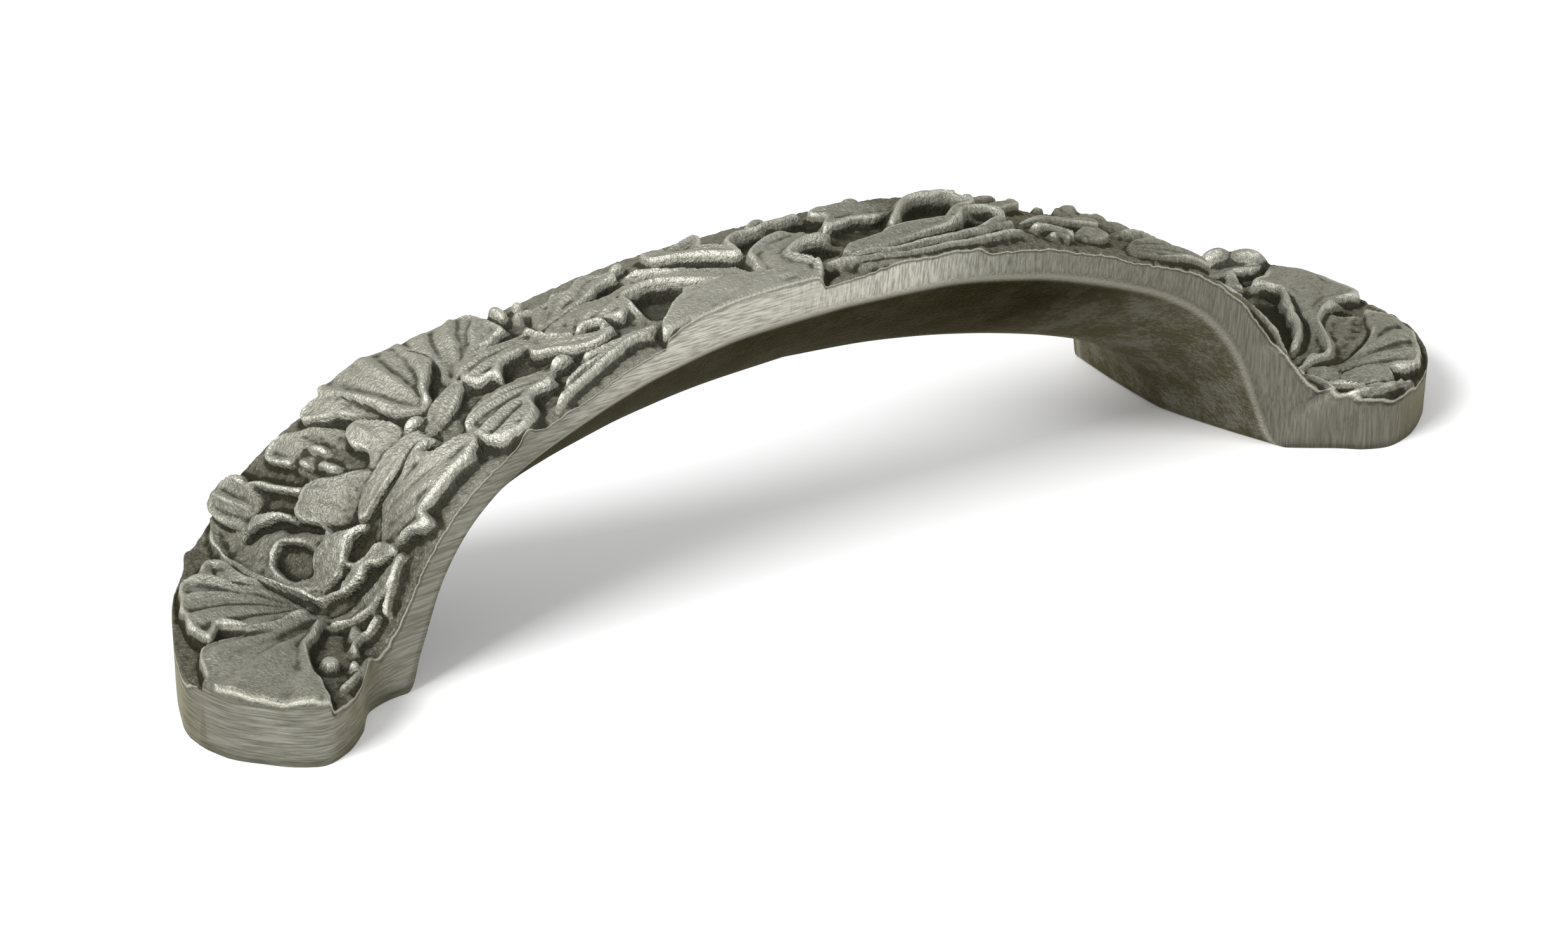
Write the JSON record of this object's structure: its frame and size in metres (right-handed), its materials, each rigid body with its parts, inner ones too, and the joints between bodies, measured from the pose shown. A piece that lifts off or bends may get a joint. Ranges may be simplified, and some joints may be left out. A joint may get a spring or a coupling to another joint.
{
  "type": "cabinet pull",
  "caption": "Cast antique-pewter bow pull with flat feet at both ends and a carved floral and leaf relief along its face, for a drawer or a cabinet door.",
  "frame": {"origin": "centre of the bounding box in plan, on the plane of the feet's flat bottoms", "axes": "+X along the bow from the left foot to the right one in the picture, +Y from the near edge to the far one, +Z out from the door towards the hand"},
  "size_m": [0.1016, 0.0282, 0.0206],
  "materials": {
    "pewter": "antique pewter, dark in the recesses and brushed bright on the edges and ridges"
  },
  "bodies": {
    "root": {"pull": "pewter"}
  },
  "joints": []
}
